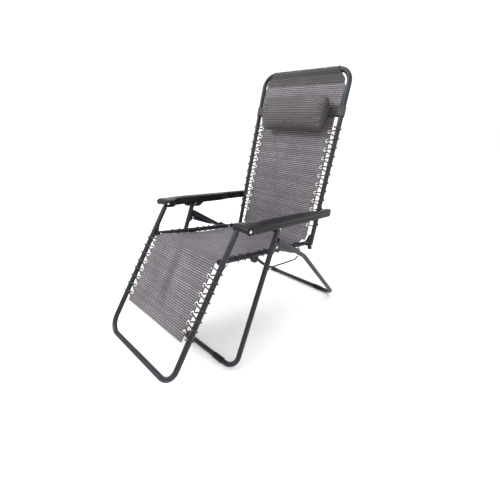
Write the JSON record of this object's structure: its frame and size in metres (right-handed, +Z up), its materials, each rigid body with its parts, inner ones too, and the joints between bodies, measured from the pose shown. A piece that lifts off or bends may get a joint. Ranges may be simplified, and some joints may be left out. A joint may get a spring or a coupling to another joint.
{
  "type": "zero gravity recliner",
  "caption": "Folding reclining lounge chair: tube frame with a laced mesh sling, moulded armrests with sliding locks, lifting footrest and a head pillow.",
  "frame": {"origin": "on the floor under the middle of the bounding box, upright position", "axes": "+Z up, +Y to the chair's rear, -Y the way the sitter faces, +X across the chair"},
  "size_m": [0.6044, 1.1365, 1.2103],
  "materials": {
    "frame_paint": "slate-blue powder coat, satin, fine texture",
    "rod_paint": "black coated wire rod",
    "black_plastic": "black moulded plastic, satin",
    "armrest_plastic": "black moulded plastic, fine grain, satin",
    "lock_plastic": "black glass-filled nylon, satin",
    "bright_steel": "bright zinc-plated rivets and bolts",
    "sling_textilene": "taupe-brown PVC-coated mesh weave",
    "pillow_textilene": "taupe-brown PVC-coated mesh over foam",
    "strap_webbing": "dark elastic webbing",
    "elastic_cord": "black braided elastic cord",
    "eyelet_white": "white moulded eyelets"
  },
  "bodies": {
    "legs": {"front_leg_frame": "frame_paint", "front_leg_caps": "black_plastic", "front_foot_sleeves": "black_plastic", "leg_pivot_rivets": "bright_steel", "rear_leg_frame": "frame_paint", "rear_leg_caps": "black_plastic", "rear_foot_sleeves": "black_plastic", "stay_rods": "rod_paint", "stay_rivets": "bright_steel", "tilt_bolts": "bright_steel", "tilt_spacers": "black_plastic", "lock_bolts": "bright_steel"},
    "seat": {"seat_rail_left": "frame_paint", "seat_rail_right": "frame_paint", "seat_rail_caps": "black_plastic", "seat_cross_bar": "frame_paint", "cross_bar_clips": "black_plastic", "seat_fabric": "sling_textilene", "seat_eyelets": "eyelet_white", "seat_lacing": "elastic_cord", "hip_bolts": "bright_steel", "hip_spacers": "black_plastic", "knee_bolts": "bright_steel", "knee_bushes": "black_plastic"},
    "back": {"back_frame": "frame_paint", "back_frame_caps": "black_plastic", "back_fabric": "sling_textilene", "back_eyelets": "eyelet_white", "back_lacing": "elastic_cord", "back_lower_ties": "elastic_cord", "arm_rear_rivets": "bright_steel"},
    "footrest": {"footrest_frame": "frame_paint", "footrest_fabric": "sling_textilene", "footrest_eyelets": "eyelet_white", "footrest_lacing": "elastic_cord", "arm_front_bolts": "bright_steel"},
    "armrests": {"armrest_left": "armrest_plastic", "armrest_right": "armrest_plastic", "guide_rods": "rod_paint"},
    "locks": {"lock_housing_left": "lock_plastic", "lock_housing_right": "lock_plastic", "lever_pins": "bright_steel"},
    "lock_lever_right": {"lock_lever_right": "lock_plastic"},
    "lock_lever_left": {"lock_lever_left": "lock_plastic"},
    "headrest": {"headrest_pillow": "pillow_textilene", "pillow_strap": "strap_webbing"}
  },
  "joints": [
    {"name": "seat_tilt", "type": "hinge", "parent": "legs", "child": "seat", "pos_m": [0, 0.15477, 0.428], "axis": [-1, 0, 0], "range_deg": [0, 14.44]},
    {"name": "recline", "type": "hinge", "parent": "seat", "child": "back", "pos_m": [0, 0.29077, 0.405], "axis": [-1, 0, 0], "range_deg": [0, 24]},
    {"name": "footrest_lift", "type": "hinge", "parent": "seat", "child": "footrest", "pos_m": [0, -0.27023, 0.5], "axis": [-1, 0, 0], "range_deg": [0, 36.73]},
    {"name": "armrest_swing", "type": "hinge", "parent": "footrest", "child": "armrests", "pos_m": [0, -0.20423, 0.624], "axis": [-1, 0, 0], "range_deg": [-40.12, 0]},
    {"name": "lock_swing", "type": "hinge", "parent": "legs", "child": "locks", "pos_m": [0, -0.02303, 0.588], "axis": [-1, 0, 0], "range_deg": [0, 11.05]},
    {"name": "lock_lever_right_turn", "type": "hinge", "parent": "locks", "child": "lock_lever_right", "pos_m": [0, -0.03572, 0.58173], "axis": [1, 0, 0], "range_deg": [0, 35]},
    {"name": "lock_lever_left_turn", "type": "hinge", "parent": "locks", "child": "lock_lever_left", "pos_m": [0, -0.03572, 0.58173], "axis": [1, 0, 0], "range_deg": [0, 35]},
    {"name": "pillow_slide", "type": "slide", "parent": "back", "child": "headrest", "axis": [0, 0.2605, 0.9655], "range_m": [-0.14, 0.05]}
  ],
  "couplings": [
    {"joint": "seat_tilt", "follows": "recline", "ratio": 0.60144},
    {"joint": "footrest_lift", "follows": "recline", "ratio": 1.5306},
    {"joint": "armrest_swing", "follows": "recline", "ratio": -1.6717},
    {"joint": "lock_swing", "follows": "recline", "ratio": 0.46032}
  ]
}
